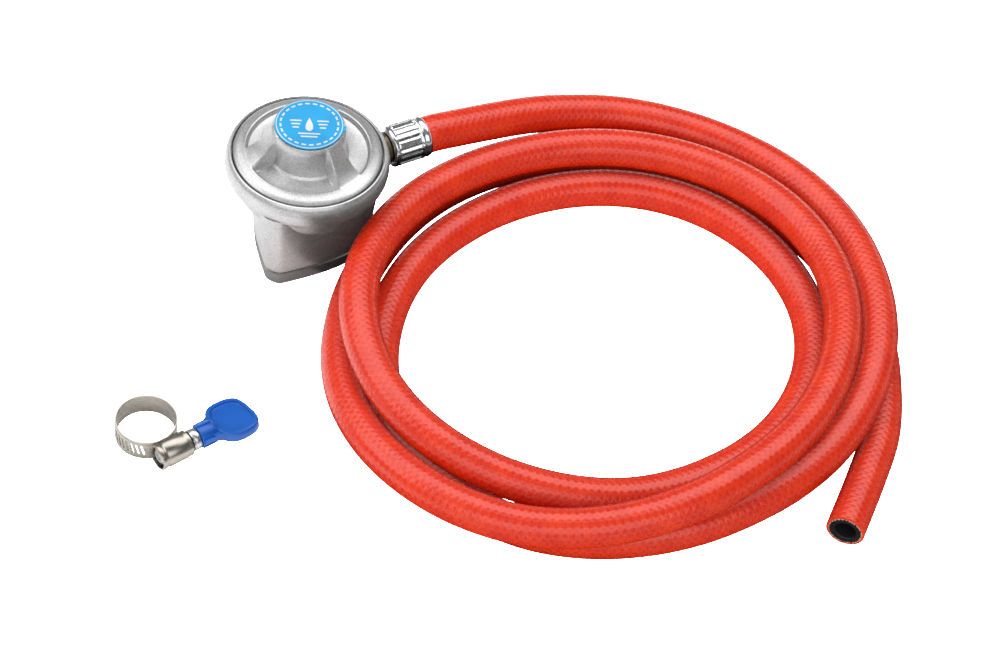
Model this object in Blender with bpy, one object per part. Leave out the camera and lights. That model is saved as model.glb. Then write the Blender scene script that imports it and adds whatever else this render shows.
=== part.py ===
"""Low-pressure gas regulator with its hose and a loose worm-drive hose clip.

Frame: +Z up, the surface that everything lies on is z = 0, and the origin is the middle of the
footprint of the regulator and the clip.  Lengths are written in millimetres and scaled by MM.
"""
import math

import bmesh
import bpy
from mathutils import Matrix, Vector

MM = 0.001
GAP = 0.3                        # between pieces that touch

# ---- driving sizes, mm -------------------------------------------------------------------------
REGULATOR_AT = (11.9, 48.4)      # the regulator's vertical axis
RIM_RADIUS = 32.0                # widest part of the die-cast body
RIM_WIDEST_Z = 42.0
GROOVE_Z = 48.0
BOSS_RADIUS = 13.6               # top of the cover, which carries the round label
BOSS_TOP_Z = 62.2
TOE_BEARING = 250.0              # direction of the pointed toe of the lower block, degrees
POCKET_BEARING = 262.0           # middle of the cover's front pocket
BLOCK_BOTTOM_Z = 6.8
BLOCK_TOP_Z = 39.2
BLOCK_DRAFT = math.tan(math.radians(6.0))
PLATE_TOP_Z = 6.4
SOCKET_RADIUS = 13.8
SOCKET_TOP_Z = 23.4
CHAMBER_RADIUS = 25.2
CHAMBER_FLOOR_Z = 33.0
OUTLET_BEARING = 33.4
OUTLET_Z = 36.0
HOSE_RADIUS = 7.5
FERRULE_START = 34.8             # along the outlet, from the regulator's axis
FERRULE_END = 51.1
FERRULE_RADIUS = 8.4
SEAT_X = -9.5                    # inlet jet, lever pivot and stem, across the chamber
PIVOT_X = -5.5
PIVOT_Z = 38.0
TAB_BEARING = -12.0              # of the switch ring's tab at rest
SWITCH_TRAVEL = 36.0             # degrees
CLIP_AT = (-44.05, -110.05)      # the clip's ring, from the regulator's axis
CLIP_RADIUS = 11.75
CLIP_WIDTH = 9.0
CLIP_BAND = 0.8
SCREW_BEARING = 42.5             # direction of the clip's screw
SCREW_OFFSET = 15.3              # of the screw's axis from the ring's axis
SCREW_Z = 5.5
KEY_TILT = 13.5                  # of the thumb key's wing from level, degrees

# The hose lies in three and a half loose turns about one centre.  Each station is 24 degrees on,
# clockwise from above, and gives the hose's distance from that centre and its height.
COIL_CENTRE = (121.0, -39.0)     # from the regulator's axis
COIL_START = 139.0
COIL_STEP = -24.0
COIL_STATIONS = [
    # down from the ferrule, over the tail, round the front, and in under the later turns
    (103.0, 36.0), (100.0, 30.0), (105.5, 23.5), (110.0, 19.0), (110.0, 20.5),
    (107.0, 23.0), (105.3, 22.2), (102.5, 17.0), (99.0, 12.5), (99.0, 9.0),
    (100.5, 7.5), (98.0, 7.5), (91.2, 7.5), (84.0, 7.5), (79.0, 7.5),
    # the innermost turn, which climbs over the first at its end
    (76.0, 7.5), (76.5, 7.5), (79.5, 7.5), (82.5, 7.5), (84.0, 7.5),
    (84.0, 7.5), (82.0, 7.5), (79.5, 7.5), (78.5, 8.5), (81.5, 10.5),
    (88.0, 17.0), (94.0, 23.0), (95.5, 25.0), (94.5, 27.5), (91.0, 25.0),
    # the top turn, which lies over both
    (88.0, 22.5), (87.0, 21.5), (88.5, 21.5), (91.0, 22.0), (92.5, 24.0),
    (92.0, 26.5), (91.0, 28.4), (92.0, 28.2), (95.0, 27.5), (102.5, 25.0),
    (109.5, 21.0), (110.5, 18.0), (106.3, 12.4), (99.5, 7.5), (95.5, 7.5),
    # the tail, under the top and first turns and out to the cut end
    (95.0, 7.5), (95.5, 7.5), (97.0, 7.5), (99.0, 7.5), (101.5, 7.5),
    (105.5, 7.5), (110.5, 7.5),
]
TAIL_POINTS = [                  # from the last turn to the cut end, along the floor
    (230.6, -71.0), (225.8, -92.5), (218.3, -119.5),
]
TUBE_POINTS = 79

COLOURS = {                      # colour, metallic, roughness
    "cast": ((0.62, 0.63, 0.64), 0.9, 0.38),
    "cast_dark": ((0.42, 0.43, 0.44), 0.9, 0.42),
    "label": ((0.01, 0.40, 0.80), 0.0, 0.45),
    "steel": ((0.66, 0.66, 0.67), 1.0, 0.25),
    "stainless": ((0.58, 0.55, 0.50), 1.0, 0.28),
    "zinc": ((0.72, 0.74, 0.76), 1.0, 0.3),
    "brass": ((0.72, 0.52, 0.22), 1.0, 0.3),
    "rubber_red": ((0.74, 0.045, 0.015), 0.0, 0.42),
    "rubber_black": ((0.02, 0.02, 0.02), 0.0, 0.6),
    "plastic_blue": ((0.0, 0.09, 0.48), 0.0, 0.35),
    "plastic_grey": ((0.55, 0.56, 0.57), 0.0, 0.45),
}


# ---- helpers -----------------------------------------------------------------------------------
def material(name):
    """The part's material of this name, made on first use."""
    found = bpy.data.materials.get(name)
    if found:
        return found
    colour, metallic, roughness = COLOURS[name]
    made = bpy.data.materials.new(name)
    made.use_nodes = True
    shader = made.node_tree.nodes["Principled BSDF"]
    shader.inputs["Base Color"].default_value = (*colour, 1.0)
    shader.inputs["Metallic"].default_value = metallic
    shader.inputs["Roughness"].default_value = roughness
    return made


def bearing_vector(bearing, length=1.0):
    """A level vector in this direction."""
    angle = math.radians(bearing)
    return Vector((math.cos(angle) * length, math.sin(angle) * length, 0.0))


def make(name, bm, finish, at=(0.0, 0.0, 0.0), turn=0.0, smooth_angle=35.0):
    """Turn a bmesh in millimetres into a named object at a place and a turn about Z."""
    bmesh.ops.scale(bm, vec=(MM, MM, MM), verts=bm.verts)
    bmesh.ops.recalc_face_normals(bm, faces=bm.faces)
    mesh = bpy.data.meshes.new(name)
    bm.to_mesh(mesh)
    bm.free()
    obj = bpy.data.objects.new(name, mesh)
    bpy.context.scene.collection.objects.link(obj)
    obj.location = Vector(at) * MM
    obj.rotation_euler = (0.0, 0.0, math.radians(turn))
    mesh.materials.append(material(finish))
    mesh.shade_smooth()
    mesh.set_sharp_from_angle(angle=math.radians(smooth_angle))
    return obj


def cut(target, cutters, operation="DIFFERENCE"):
    """Apply Boolean modifiers to target, one for each cutter, and hide the cutters."""
    for cutter in cutters:
        modifier = target.modifiers.new(cutter.name, "BOOLEAN")
        modifier.operation = operation
        modifier.solver = "EXACT"
        modifier.object = cutter
        cutter.hide_render = True
        cutter.display_type = "WIRE"
        cutter.name = "cutter_" + cutter.name
    return target


def turned(profile, segments=64):
    """A closed solid turned about Z from (radius, z) points; radius 0 points lie on the axis."""
    bm = bmesh.new()
    rings = []
    for radius, z in profile:
        if radius <= 0.0:
            rings.append([bm.verts.new((0.0, 0.0, z))])
            continue
        ring = []
        for k in range(segments):
            angle = 2.0 * math.pi * k / segments
            ring.append(bm.verts.new((radius * math.cos(angle), radius * math.sin(angle), z)))
        rings.append(ring)
    pairs = list(zip(rings, rings[1:]))
    if len(rings[0]) > 1:
        pairs.append((rings[-1], rings[0]))
    for a, b in pairs:
        for k in range(segments):
            corners = [a[k % len(a)], a[(k + 1) % len(a)], b[(k + 1) % len(b)], b[k % len(b)]]
            corners = list(dict.fromkeys(corners))
            if len(corners) > 2:
                bm.faces.new(corners)
    return bm


def tube(outer, inner, z0, z1, segments=32):
    """A plain ring or sleeve."""
    return turned([(outer, z0), (outer, z1), (inner, z1), (inner, z0)], segments)


def rod(radius, z0, z1, segments=24):
    """A plain round bar."""
    return turned([(0.0, z0), (radius, z0), (radius, z1), (0.0, z1)], segments)


def prism(outline, z0, z1, grow=0.0):
    """An upright prism; grow adds to each point's distance from the axis at the top."""
    bm = bmesh.new()
    low = [bm.verts.new((x, y, z0)) for x, y in outline]
    high = []
    for x, y in outline:
        scale = 1.0 + grow / math.hypot(x, y)
        high.append(bm.verts.new((x * scale, y * scale, z1)))
    bm.faces.new(list(reversed(low)))
    bm.faces.new(high)
    count = len(low)
    for k in range(count):
        bm.faces.new((low[k], low[(k + 1) % count], high[(k + 1) % count], high[k]))
    return bm


def box(low, high):
    """A box from its lowest to its highest corner."""
    bm = bmesh.new()
    bmesh.ops.create_cube(bm, size=1.0)
    size = Vector(high) - Vector(low)
    bmesh.ops.scale(bm, vec=size, verts=bm.verts)
    bmesh.ops.translate(bm, vec=(Vector(high) + Vector(low)) / 2.0, verts=bm.verts)
    return bm


def tip_over(bm, bearing, origin=(0.0, 0.0, 0.0)):
    """Lay a shape that was built along +Z so that it runs level, in the direction of bearing."""
    tilt = Matrix.Rotation(math.radians(90.0), 4, "Y")
    spin = Matrix.Rotation(math.radians(bearing), 4, "Z")
    bmesh.ops.transform(bm, matrix=Matrix.Translation(origin) @ spin @ tilt, verts=bm.verts)
    return bm


def sector(inner, outer, z0, z1, middle, half_angle, steps=12):
    """Part of a ring between two bearings."""
    outline = []
    for k in range(steps + 1):
        angle = middle - half_angle + 2.0 * half_angle * k / steps
        outline.append(bearing_vector(angle, outer)[:2])
    for k in range(steps + 1):
        angle = middle + half_angle - 2.0 * half_angle * k / steps
        outline.append(bearing_vector(angle, inner)[:2])
    return prism(outline, z0, z1)


def through(points, steps):
    """Points on a smooth curve through the given ones (Catmull-Rom), steps to each stretch."""
    out = []
    last = len(points) - 1
    for k in range(last):
        p0 = Vector(points[max(k - 1, 0)])
        p1 = Vector(points[k])
        p2 = Vector(points[k + 1])
        p3 = Vector(points[min(k + 2, last)])
        for s in range(steps):
            t = s / steps
            out.append(0.5 * (2.0 * p1 + (p2 - p0) * t + (2.0 * p0 - 5.0 * p1 + 4.0 * p2 - p3) * t * t
                              + (3.0 * p1 - p0 - 3.0 * p2 + p3) * t ** 3))
    out.append(Vector(points[-1]))
    return out


def spring(name, finish, radius, wire, z0, z1, turns, at):
    """A coil spring with its axis along Z, as one closed tube."""
    curve = bpy.data.curves.new(name, "CURVE")
    curve.dimensions = "3D"
    curve.bevel_depth = wire * MM
    curve.bevel_resolution = 1
    curve.use_fill_caps = True
    per_turn = 12
    count = int(turns * per_turn) + 1
    spline = curve.splines.new("POLY")
    spline.points.add(count - 1)
    for k in range(count):
        turn = bearing_vector(360.0 * k / per_turn, radius)
        height = z0 + wire + (z1 - z0 - 2.0 * wire) * k / (count - 1)
        spline.points[k].co = (turn.x * MM, turn.y * MM, height * MM, 1.0)
    obj = bpy.data.objects.new(name, curve)
    bpy.context.scene.collection.objects.link(obj)
    obj.location = Vector(at) * MM
    curve.materials.append(material(finish))
    return obj


# ---- places ------------------------------------------------------------------------------------
AXIS = Vector((*REGULATOR_AT, 0.0))
OUTLET = bearing_vector(OUTLET_BEARING)
CLIP = AXIS + Vector((*CLIP_AT, 0.0))


def block_outline(inset=0.0):
    """Plan of the lower block about the regulator's axis: a pointed toe and a round heel."""
    half = [(-28.6, 0.0), (-28.0, 2.9), (-25.6, 5.6), (-20.0, 10.6), (-13.0, 16.2), (-4.7, 21.2),
            (3.5, 23.9), (11.5, 22.4), (18.5, 17.0), (22.9, 9.0), (24.4, 0.0)]
    side = through([Vector((u, v, 0.0)) for u, v in half], 3)
    whole = side + [Vector((p.x, -p.y, 0.0)) for p in reversed(side[1:-1])]
    spin = Matrix.Rotation(math.radians(TOE_BEARING - 180.0), 4, "Z")
    shift = Vector((0.0, -1.0, 0.0))
    outline = []
    for p in whole:
        q = spin @ (p + shift)
        q -= q.normalized() * inset
        outline.append((q.x, q.y))
    return outline


# ---- regulator ---------------------------------------------------------------------------------
def regulator_body():
    """Die-cast body: rolled rim, conical skirt, pointed block, chamber, socket and outlet boss."""
    skin = [(0.0, 20.0), (19.0, 20.0), (23.6, 26.0), (27.4, 31.6), (29.4, 36.4), (30.6, 38.0),
            (31.6, 39.6), (RIM_RADIUS, RIM_WIDEST_Z), (31.9, 44.6), (31.2, 46.9), (30.3, 48.2),
            (29.0, GROOVE_Z), (0.0, GROOVE_Z)]
    body = make("regulator_body", turned(skin, 56), "cast", AXIS)
    grow = (BLOCK_TOP_Z - BLOCK_BOTTOM_Z) * BLOCK_DRAFT
    block = make("block", prism(block_outline(), BLOCK_BOTTOM_Z, BLOCK_TOP_Z, grow), "cast", AXIS)
    hollow = make("chamber", turned([(0.0, CHAMBER_FLOOR_Z), (21.5, CHAMBER_FLOOR_Z),
                                     (CHAMBER_RADIUS, 37.4), (CHAMBER_RADIUS, 45.0), (29.6, 45.0),
                                     (29.6, 52.0), (0.0, 52.0)], 40), "cast", AXIS)
    boss = make("outlet_boss", tip_over(rod(7.4, 20.0, 32.8, 32), OUTLET_BEARING,
                                        (0.0, 0.0, OUTLET_Z)), "cast", AXIS)
    cut(body, [block, boss], "UNION")
    socket = make("socket", turned([(0.0, 0.0), (SOCKET_RADIUS, 0.0), (SOCKET_RADIUS, SOCKET_TOP_Z),
                                    (2.4, SOCKET_TOP_Z), (2.4, 30.0), (0.0, 30.0)], 40), "cast", AXIS)
    outlet = make("outlet_bore", tip_over(rod(5.0, 17.0, 40.0, 26), OUTLET_BEARING,
                                          (0.0, 0.0, OUTLET_Z)), "cast", AXIS)
    inlet = make("inlet_bore", turned([(0.0, 21.0), (2.9, 21.0), (2.9, 31.4), (2.2, 31.4), (2.2, 40.0),
                                       (0.0, 40.0)], 22), "cast", AXIS + Vector((SEAT_X, 0, 0)), 4.0)
    holes = []
    for k, (bearing, distance) in enumerate(SCREW_PLACES):
        place = AXIS + bearing_vector(bearing, distance)
        holes.append(make("tapped_hole_%d" % (k + 1), rod(1.7, 0.0, 15.0, 12), "cast", place))
    cut(body, [hollow, socket, outlet, inlet] + holes)
    return body


SCREW_PLACES = [(TOE_BEARING + 2.0, 22.6), (46.0, 20.9), (120.0, 20.9)]


def regulator_cover():
    """Pressed-in cover: flat ring, three sunk pockets, flared spokes, central boss and vent lug."""
    skin = [(0.0, 46.5), (26.0, 46.5), (26.0, 46.4), (29.2, 46.4), (29.2, 47.6), (28.4, 48.3),
            (26.6, 48.7), (24.0, 49.6), (21.4, 51.6), (19.0, 54.2), (16.6, 57.8), (14.8, 60.8),
            (BOSS_RADIUS, BOSS_TOP_Z), (0.0, BOSS_TOP_Z)]
    cover = make("regulator_cover", turned(skin, 52), "cast", AXIS)
    pockets = []
    for k in range(3):
        middle = POCKET_BEARING + 120.0 * k
        shape = sector(14.8, 24.0, 48.1, 66.0, middle, 49.0, 8)
        pockets.append(make("pocket_%d" % (k + 1), shape, "cast", AXIS))
    lug = make("vent_lug", box((11.5, -3.0, 47.4), (18.0, 3.0, 57.0)), "cast", AXIS, 186.0)
    bore = make("spring_bore", rod(11.5, 40.0, 70.0, 36), "cast", AXIS)
    vent = make("vent_hole", tip_over(rod(1.0, 10.0, 20.0, 12), 186.0, (0.0, 0.0, 53.5)), "cast",
                AXIS)
    cut(cover, pockets)
    cut(cover, [lug], "UNION")
    cut(cover, [bore, vent])
    return cover


def top_pieces():
    """Label, spring adjuster, main spring, diaphragm with its plate, and the stem."""
    make("cover_label", rod(13.3, BOSS_TOP_Z + GAP, BOSS_TOP_Z + 0.8, 48), "label", AXIS)
    adjuster = make("spring_adjuster", rod(11.2, 58.6, 61.2, 36), "brass", AXIS)
    slot = make("adjuster_slot", box((-8.0, -0.8, 60.0), (8.0, 0.8, 63.0)), "brass", AXIS)
    cut(adjuster, [slot])
    spring("main_spring", "steel", 8.0, 0.8, 45.0, 58.3, 5.0, AXIS)
    sheet = [(3.4, 43.0), (18.0, 43.0), (20.2, 43.9), (22.0, 45.0), (24.0, 45.3), (29.2, 45.3),
             (29.2, 46.1), (23.6, 46.1), (21.4, 45.7), (19.6, 44.6), (17.6, 43.7), (3.4, 43.7)]
    make("diaphragm", turned(sheet, 40), "rubber_black", AXIS)
    plate = [(2.3, 44.0), (15.5, 44.0), (16.3, 44.4), (16.3, 45.2), (15.3, 45.2), (14.9, 44.7),
             (2.3, 44.7)]
    make("diaphragm_plate", turned(plate, 32), "steel", AXIS)
    stem = [(0.0, 38.9), (1.6, 38.9), (1.6, 42.7), (2.0, 42.7), (2.0, 44.9), (3.6, 45.0),
            (3.2, 46.2), (0.0, 46.2)]
    make("diaphragm_stem", turned(stem, 24), "brass", AXIS)


def valve_pieces():
    """Lever, its pin, the plunger with its pad, the inlet jet and the excess-flow valve."""
    pivot = AXIS + Vector((PIVOT_X, 0.0, PIVOT_Z))
    lever = make("valve_lever", box((SEAT_X - PIVOT_X - 1.2, -2.0, -0.6),
                                    (-PIVOT_X + 2.0, 2.0, 0.6)), "steel", pivot)
    hub = make("lever_hub", tip_over(rod(1.7, -2.0, 2.0, 20), 90.0), "steel", pivot)
    pin_hole = make("lever_bore", tip_over(rod(0.95, -4.0, 4.0, 20), 90.0), "steel", pivot)
    cut(lever, [hub], "UNION")
    cut(lever, [pin_hole])
    pin = make("lever_pin", tip_over(rod(0.9, -4.2, 4.2, 20), 90.0), "steel", pivot)
    posts = []
    for side in (-1.0, 1.0):
        low = (-1.6, side * 3.2 - 0.9, CHAMBER_FLOOR_Z + GAP - PIVOT_Z)
        posts.append(make("pivot_post", box(low, (1.6, side * 3.2 + 0.9, 1.6)), "steel", pivot))
    cut(pin, posts, "UNION")
    seat = AXIS + Vector((SEAT_X, 0.0, 0.0))
    plunger = [(0.0, 36.2), (1.5, 36.2), (1.5, 37.1), (0.0, 37.1)]
    make("valve_plunger", turned(plunger, 20), "brass", seat)
    make("valve_pad", rod(1.5, 35.2, 35.9, 20), "rubber_black", seat)
    jet = [(0.7, 31.8), (1.9, 31.8), (1.9, CHAMBER_FLOOR_Z + GAP), (2.8, CHAMBER_FLOOR_Z + GAP),
           (2.8, 34.2), (1.2, 34.8), (0.7, 34.8)]
    make("inlet_jet", turned(jet, 24), "brass", seat)
    poppet = [(0.0, 25.2), (2.2, 25.2), (2.2, 26.8), (1.2, 27.6), (0.0, 27.6)]
    make("flow_poppet", turned(poppet, 20), "brass", seat)
    spring("flow_spring", "steel", 1.9, 0.2, 27.9, 31.2, 4.0, seat)
    make("flow_retainer", tube(2.6, 1.2, 24.0, 24.8, 20), "brass", seat)


def inlet_pieces():
    """Base plate with its screws, socket seal, switch ring and the pin that it pushes."""
    plate = make("base_plate", prism(block_outline(0.4), 0.0, PLATE_TOP_Z, 0.5), "cast_dark", AXIS)
    hole = make("plate_hole", rod(SOCKET_RADIUS, -1.0, 8.0, 40), "cast_dark", AXIS)
    recess = make("ring_recess", rod(17.2, 2.0, 8.0, 40), "cast_dark", AXIS)
    notch_shape = sector(15.6, 40.0, -1.0, 8.0, TAB_BEARING + SWITCH_TRAVEL / 2.0, 28.0, 12)
    notch = make("lever_notch", notch_shape, "cast_dark", AXIS)
    cutters = [hole, recess, notch]
    for k, (bearing, distance) in enumerate(SCREW_PLACES):
        place = AXIS + bearing_vector(bearing, distance)
        shape = turned([(0.0, -1.0), (2.9, -1.0), (2.9, 2.2), (1.7, 3.4), (1.7, 8.0), (0.0, 8.0)], 16)
        cutters.append(make("screw_seat_%d" % (k + 1), shape, "cast_dark", place))
        screw = make("base_screw_%d" % (k + 1),
                     turned([(0.0, 0.3), (2.6, 0.3), (2.6, 1.9), (1.4, 3.1), (1.4, 14.0),
                             (0.0, 14.0)], 16), "zinc", place)
        drive = make("screw_cross_%d" % (k + 1), box((-1.6, -0.35, -0.5), (1.6, 0.35, 1.2)), "zinc",
                     place)
        cut(screw, [drive])
    cut(plate, cutters)
    make("inlet_seal", tube(13.4, 11.2, 20.9, SOCKET_TOP_Z - GAP, 36), "rubber_black", AXIS)
    ring = make("switch_ring", tube(16.8, 14.2, 2.4, 5.9, 40), "plastic_grey", AXIS)
    tab = make("switch_tab", box((15.6, -2.75, 2.4), (22.4, 2.75, 5.9)), "plastic_grey", AXIS,
               TAB_BEARING)
    cut(ring, [tab], "UNION")
    pin = [(0.0, 13.0), (1.6, 13.0), (2.1, 13.6), (2.1, 28.0), (0.0, 28.0)]
    make("push_pin", turned(pin, 24), "brass", AXIS)


def outlet_pieces():
    """Screwed-in hose tail with barbs, and the crimped ferrule over it."""
    tail = [(2.8, 22.0), (4.8, 22.0), (4.8, 33.0), (6.4, 33.2), (6.4, 34.4), (4.2, 34.6)]
    for k in range(3):
        start = 36.4 + 4.6 * k
        tail += [(3.7, start), (4.4, start + 0.4), (3.7, start + 3.6)]
    tail += [(3.6, FERRULE_END - GAP), (2.8, FERRULE_END - GAP)]
    place = AXIS + Vector((0.0, 0.0, OUTLET_Z))
    make("hose_tail", tip_over(turned(tail, 18), OUTLET_BEARING), "brass", place)
    sleeve = [(5.0, FERRULE_START), (7.4, FERRULE_START), (FERRULE_RADIUS, FERRULE_START + 0.8),
              (FERRULE_RADIUS, FERRULE_END - 2.6), (7.9, FERRULE_END - 2.2),
              (8.2, FERRULE_END - 1.2), (7.8, FERRULE_END), (5.0, FERRULE_END)]
    ferrule = make("hose_ferrule", tip_over(turned(sleeve, 32), OUTLET_BEARING), "steel", place)
    flutes = []
    for k in range(8):
        flute = turned([(0.0, FERRULE_START + 2.2), (1.3, FERRULE_START + 3.2),
                        (1.3, FERRULE_END - 5.0), (0.0, FERRULE_END - 4.0)], 11)
        bmesh.ops.translate(flute, vec=bearing_vector(45.0 * k + 5.0, FERRULE_RADIUS + 0.5),
                            verts=flute.verts)
        flutes.append(make("flute_%d" % (k + 1), tip_over(flute, OUTLET_BEARING), "steel", place))
    cut(ferrule, flutes)


# ---- hose --------------------------------------------------------------------------------------
def hose_route():
    """The hose's centre line, in millimetres from the regulator's axis."""
    points = [OUTLET * (FERRULE_END + GAP) + Vector((0.0, 0.0, OUTLET_Z)),
              OUTLET * (FERRULE_END + 8.0) + Vector((0.0, 0.0, OUTLET_Z - 0.4))]
    halves = through([Vector((radius, z, 0.0)) for radius, z in COIL_STATIONS], 2)
    centre = Vector((*COIL_CENTRE, 0.0))
    for k, half in enumerate(halves[2:], 2):
        around = bearing_vector(COIL_START + COIL_STEP * k / 2.0, half.x)
        points.append(centre + around + Vector((0.0, 0.0, half.y)))
    points += [Vector((x, y, HOSE_RADIUS)) for x, y in TAIL_POINTS]
    line = through(points, 12)
    for point in line:
        point.z = max(point.z, HOSE_RADIUS)
    return line


def spaced(line, count):
    """The same line as count points an equal way apart."""
    lengths = [0.0]
    for a, b in zip(line, line[1:]):
        lengths.append(lengths[-1] + (b - a).length)
    out = []
    k = 0
    for n in range(count):
        want = lengths[-1] * n / (count - 1)
        while k < len(line) - 2 and lengths[k + 1] < want:
            k += 1
        share = (want - lengths[k]) / (lengths[k + 1] - lengths[k])
        out.append(line[k].lerp(line[k + 1], share))
    return out


def gas_hose():
    """The hose as one tube along its whole route."""
    curve = bpy.data.curves.new("gas_hose", "CURVE")
    curve.dimensions = "3D"
    curve.bevel_depth = HOSE_RADIUS * MM
    curve.bevel_resolution = 2
    curve.use_fill_caps = True
    route = hose_route()
    # the first stretch is short, so that the end face stays square to the outlet
    points = [route[0]] + spaced(route[2:], TUBE_POINTS)
    spline = curve.splines.new("POLY")
    spline.points.add(len(points) - 1)
    for k, point in enumerate(points):
        spline.points[k].co = (point.x * MM, point.y * MM, point.z * MM, 1.0)
    obj = bpy.data.objects.new("gas_hose", curve)
    bpy.context.scene.collection.objects.link(obj)
    obj.location = AXIS * MM
    curve.materials.append(material("rubber_red"))


# ---- loose clip --------------------------------------------------------------------------------
def clip_pieces():
    """Worm-drive clip: slotted band, saddle housing, worm screw, collar and thumb key."""
    band = make("clamp_band", tube(CLIP_RADIUS, CLIP_RADIUS - CLIP_BAND, 0.0, CLIP_WIDTH, 48),
                "stainless", CLIP)
    slots = []
    for k in range(9):
        slot = box((CLIP_RADIUS - 3.0, -0.45, 1.7), (CLIP_RADIUS + 3.0, 0.45, 7.3))
        bmesh.ops.rotate(slot, matrix=Matrix.Rotation(math.radians(14.0), 3, "X"),
                         cent=(0.0, 0.0, CLIP_WIDTH / 2.0), verts=slot.verts)
        slots.append(make("band_slot_%d" % (k + 1), slot, "stainless", CLIP, 193.0 + 10.0 * k))
    cut(band, slots)
    # the screw runs along local +X; the ring lies on its +Y side
    foot = CLIP + bearing_vector(SCREW_BEARING - 90.0, SCREW_OFFSET)
    screw_at = Vector((foot.x, foot.y, SCREW_Z))
    clamp_housing(screw_at)
    worm = [(0.0, -4.6), (2.6, -4.6)]
    for k in range(6):
        start = -4.2 + 1.9 * k
        worm += [(3.25, start), (3.25, start + 0.6), (2.6, start + 0.95), (2.6, start + 1.55)]
    worm += [(2.6, 8.6), (0.0, 8.6)]
    make("clamp_screw", tip_over(turned(worm, 14), 0.0), "zinc", screw_at, SCREW_BEARING)
    make("screw_collar", tip_over(rod(4.25, 8.9, 12.4, 32), 0.0), "zinc", screw_at, SCREW_BEARING)
    thumb_key(screw_at)


def clamp_housing(screw_at):
    """A sheet-metal saddle bent round the screw and open towards the band."""
    radius, wall, mouth = 5.3, 0.8, 48.0
    steps = 20
    saddle = []
    for k in range(steps + 1):
        angle = mouth + (360.0 - 2.0 * mouth) * k / steps
        saddle.append(bearing_vector(angle, radius)[:2])
    for k in range(steps + 1):
        angle = 360.0 - mouth - (360.0 - 2.0 * mouth) * k / steps
        saddle.append(bearing_vector(angle, radius - wall)[:2])
    shape = prism(saddle, -5.2, 8.2)
    # the section's plan becomes local Y and Z, and its height becomes local X
    lay = Matrix(((0, 0, 1, 0), (1, 0, 0, 0), (0, 1, 0, 0), (0, 0, 0, 1)))
    bmesh.ops.transform(shape, matrix=lay, verts=shape.verts)
    make("clamp_housing", shape, "stainless", screw_at, SCREW_BEARING)


def thumb_key(screw_at):
    """Plastic thumb key: a ribbed hub that flares into a flat wing with sunk panels."""
    half = [(19.2, 0.0), (19.6, 4.4), (21.6, 8.4), (25.0, 10.4), (31.0, 10.3), (34.8, 8.2),
            (36.1, 4.2), (36.2, 0.0)]
    side = through([Vector((a, b, 0.0)) for a, b in half], 3)
    outline = [(p.x, p.y) for p in side] + [(p.x, -p.y) for p in reversed(side[1:-1])]
    middle = 28.2
    inner = [(middle + (x - middle) * 0.76, y * 0.78) for x, y in outline]
    hub = [(0.0, 12.7), (4.4, 12.7), (4.5, 13.6), (4.2, 20.0), (2.6, 26.0), (0.0, 26.5)]
    fan = [(17.0, -4.3), (22.6, -7.6), (22.6, 7.6), (17.0, 4.3)]
    shapes = [
        ("thumb_key", tip_over(turned(hub, 32), 0.0)),
        ("wing", prism(outline, -2.2, 2.2)),
        ("fan", prism(fan, -1.6, 1.6)),
        ("hub_rib", box((12.9, -5.3, -1.2), (18.5, 5.3, 1.2))),
        ("panel_top", prism(inner, 1.4, 3.0)),
        ("panel_under", prism(inner, -3.0, -1.4)),
    ]
    tilt = Matrix.Rotation(math.radians(-KEY_TILT), 4, "X")
    pieces = []
    for name, shape in shapes:
        bmesh.ops.transform(shape, matrix=tilt, verts=shape.verts)
        pieces.append(make(name, shape, "plastic_blue", screw_at, SCREW_BEARING))
    key = pieces[0]
    cut(key, pieces[1:4], "UNION")
    cut(key, pieces[4:])


def main():
    for obj in list(bpy.data.objects):
        bpy.data.objects.remove(obj, do_unlink=True)
    regulator_body()
    regulator_cover()
    top_pieces()
    valve_pieces()
    inlet_pieces()
    outlet_pieces()
    gas_hose()
    clip_pieces()


main()
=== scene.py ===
import math
from random import Random

import bmesh
import bpy
from mathutils import Matrix, Vector


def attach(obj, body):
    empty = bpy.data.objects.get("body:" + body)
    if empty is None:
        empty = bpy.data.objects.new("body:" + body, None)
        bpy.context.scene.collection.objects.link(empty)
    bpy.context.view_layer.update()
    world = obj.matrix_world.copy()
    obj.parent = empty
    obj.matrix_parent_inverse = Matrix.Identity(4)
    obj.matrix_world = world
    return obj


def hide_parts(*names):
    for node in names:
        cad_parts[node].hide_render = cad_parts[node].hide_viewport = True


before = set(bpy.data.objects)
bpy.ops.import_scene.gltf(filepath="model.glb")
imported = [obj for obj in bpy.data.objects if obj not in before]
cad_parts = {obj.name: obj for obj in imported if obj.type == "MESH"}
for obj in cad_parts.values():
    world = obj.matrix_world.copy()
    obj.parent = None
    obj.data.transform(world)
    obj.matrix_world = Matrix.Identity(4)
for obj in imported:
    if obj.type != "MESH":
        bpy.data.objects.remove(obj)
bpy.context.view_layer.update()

MM = 0.001
AXIS = Vector((11.9, 48.4, 0.0)) * MM         # the regulator's vertical axis
OUTLET_BEARING = 33.4
OUTLET_Z = 36.0 * MM
TOE_BEARING = 250.0


# ---- small helpers -----------------------------------------------------------------------------
def bearing_vector(bearing, length=1.0):
    """A level vector in this direction, in degrees from +X."""
    angle = math.radians(bearing)
    return Vector((math.cos(angle) * length, math.sin(angle) * length, 0.0))


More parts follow.
